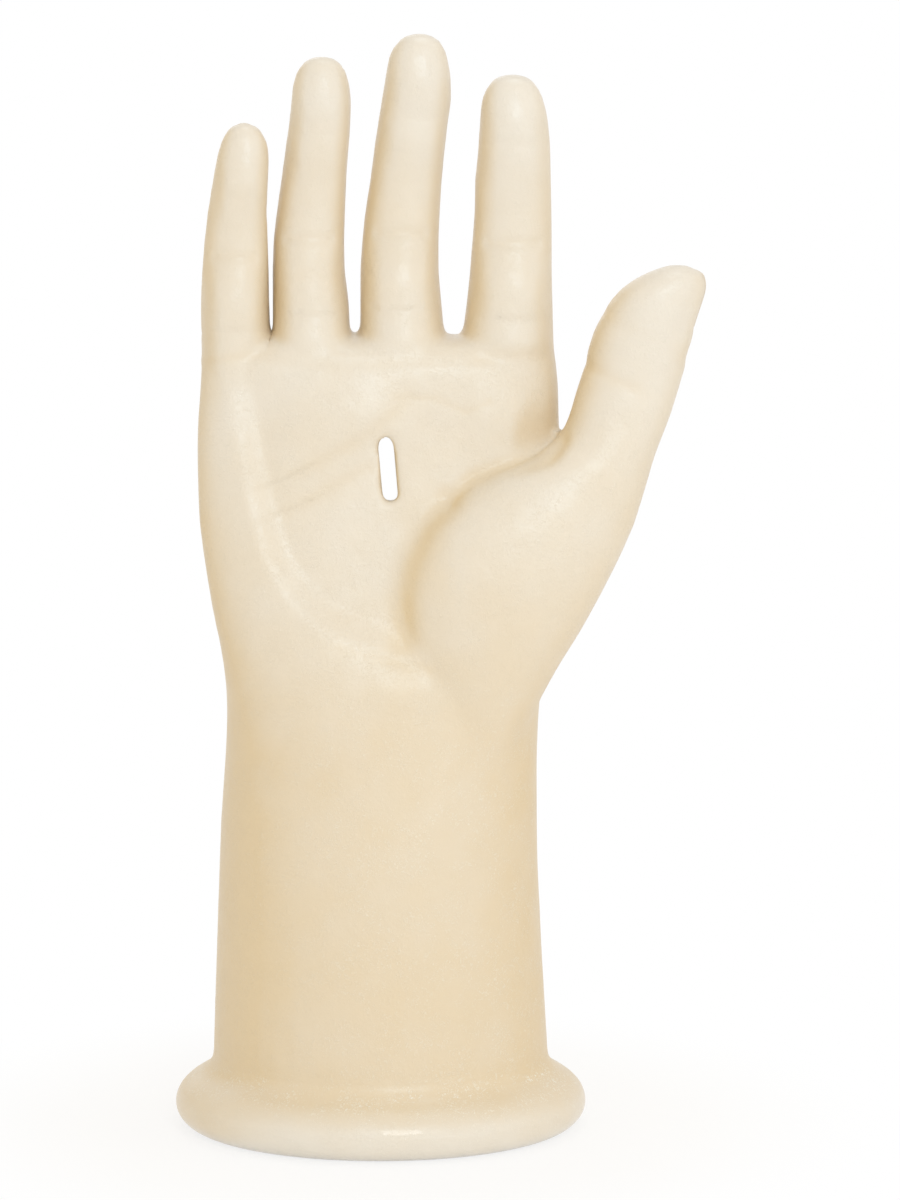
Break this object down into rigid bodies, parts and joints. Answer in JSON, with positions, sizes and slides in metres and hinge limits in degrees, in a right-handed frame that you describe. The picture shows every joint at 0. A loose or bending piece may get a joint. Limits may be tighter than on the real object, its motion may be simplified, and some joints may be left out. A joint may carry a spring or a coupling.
{
  "type": "prosthetic hand",
  "caption": "Passive right-hand prosthesis with friction-jointed fingers under a moulded ivory glove, a rolled cuff rim and a threaded wrist stud.",
  "frame": {"origin": "on the wrist stud's axis, in the plane of the wrist plate's face that seats on the arm", "axes": "+Z along the stud towards the fingertips, +X towards the thumb, -Y out of the palm; the stud leaves along -Z"},
  "size_m": [0.1381, 0.0916, 0.2872],
  "materials": {
    "skin": "waxy satin PVC",
    "foam": "moulded foam",
    "cast": "cast and machined",
    "plate": "moulded nylon",
    "steel": "turned",
    "washer": "stamped",
    "rubber": "moulded"
  },
  "bodies": {
    "palm": {"glove_palm": "skin", "wrist_plate": "plate", "wrist_washer": "rubber", "wrist_stud": "steel", "palm_frame": "cast", "flange_screws": "steel", "post_screws": "steel", "palm_core_front": "foam", "palm_core_back": "foam", "index_post": "cast", "middle_post": "cast", "ring_post": "cast", "little_post": "cast", "thumb_post": "cast", "knuckle_pins": "steel", "knuckle_washers": "washer"},
    "index_base": {"index_base_glove": "skin", "index_base_core": "foam", "index_base_link": "cast", "index_middle_pin": "steel", "index_middle_washers": "washer"},
    "index_tip": {"index_tip_glove": "skin", "index_tip_core": "foam", "index_tip_link": "cast"},
    "middle_base": {"middle_base_glove": "skin", "middle_base_core": "foam", "middle_base_link": "cast", "middle_middle_pin": "steel", "middle_middle_washers": "washer"},
    "middle_tip": {"middle_tip_glove": "skin", "middle_tip_core": "foam", "middle_tip_link": "cast"},
    "ring_base": {"ring_base_glove": "skin", "ring_base_core": "foam", "ring_base_link": "cast", "ring_middle_pin": "steel", "ring_middle_washers": "washer"},
    "ring_tip": {"ring_tip_glove": "skin", "ring_tip_core": "foam", "ring_tip_link": "cast"},
    "little_base": {"little_base_glove": "skin", "little_base_core": "foam", "little_base_link": "cast", "little_middle_pin": "steel", "little_middle_washers": "washer"},
    "little_tip": {"little_tip_glove": "skin", "little_tip_core": "foam", "little_tip_link": "cast"},
    "thumb_tip": {"thumb_tip_glove": "skin", "thumb_tip_core": "foam", "thumb_tip_link": "cast"}
  },
  "joints": [
    {"name": "index_knuckle", "type": "hinge", "parent": "palm", "child": "index_base", "pos_m": [0.0336, -0.001, 0.1135], "axis": [0.9999, 0, -0.0122], "range_deg": [0, 60]},
    {"name": "index_middle", "type": "hinge", "parent": "index_base", "child": "index_tip", "pos_m": [0.03381, -0.001, 0.131], "axis": [0.9999, 0, -0.0122], "range_deg": [0, 60]},
    {"name": "middle_knuckle", "type": "hinge", "parent": "palm", "child": "middle_base", "pos_m": [0.0056, 0.0005, 0.1155], "axis": [0.9977, 0, -0.068], "range_deg": [0, 60]},
    {"name": "middle_middle", "type": "hinge", "parent": "middle_base", "child": "middle_tip", "pos_m": [0.00682, 0.0005, 0.13346], "axis": [0.9977, 0, -0.068], "range_deg": [0, 60]},
    {"name": "ring_knuckle", "type": "hinge", "parent": "palm", "child": "ring_base", "pos_m": [-0.0182, 0, 0.1145], "axis": [0.9982, 0, -0.0593], "range_deg": [0, 60]},
    {"name": "ring_middle", "type": "hinge", "parent": "ring_base", "child": "ring_tip", "pos_m": [-0.01716, 0, 0.13197], "axis": [0.9982, 0, -0.0593], "range_deg": [0, 60]},
    {"name": "little_knuckle", "type": "hinge", "parent": "palm", "child": "little_base", "pos_m": [-0.037, -0.004, 0.1105], "axis": [0.999, 0, -0.0454], "range_deg": [0, 60]},
    {"name": "little_middle", "type": "hinge", "parent": "little_base", "child": "little_tip", "pos_m": [-0.03623, -0.004, 0.12748], "axis": [0.999, 0, -0.0454], "range_deg": [0, 60]},
    {"name": "thumb_joint", "type": "hinge", "parent": "palm", "child": "thumb_tip", "pos_m": [0.064, -0.009, 0.0925], "axis": [0.518, -0.8387, -0.1683], "range_deg": [0, 50]}
  ]
}
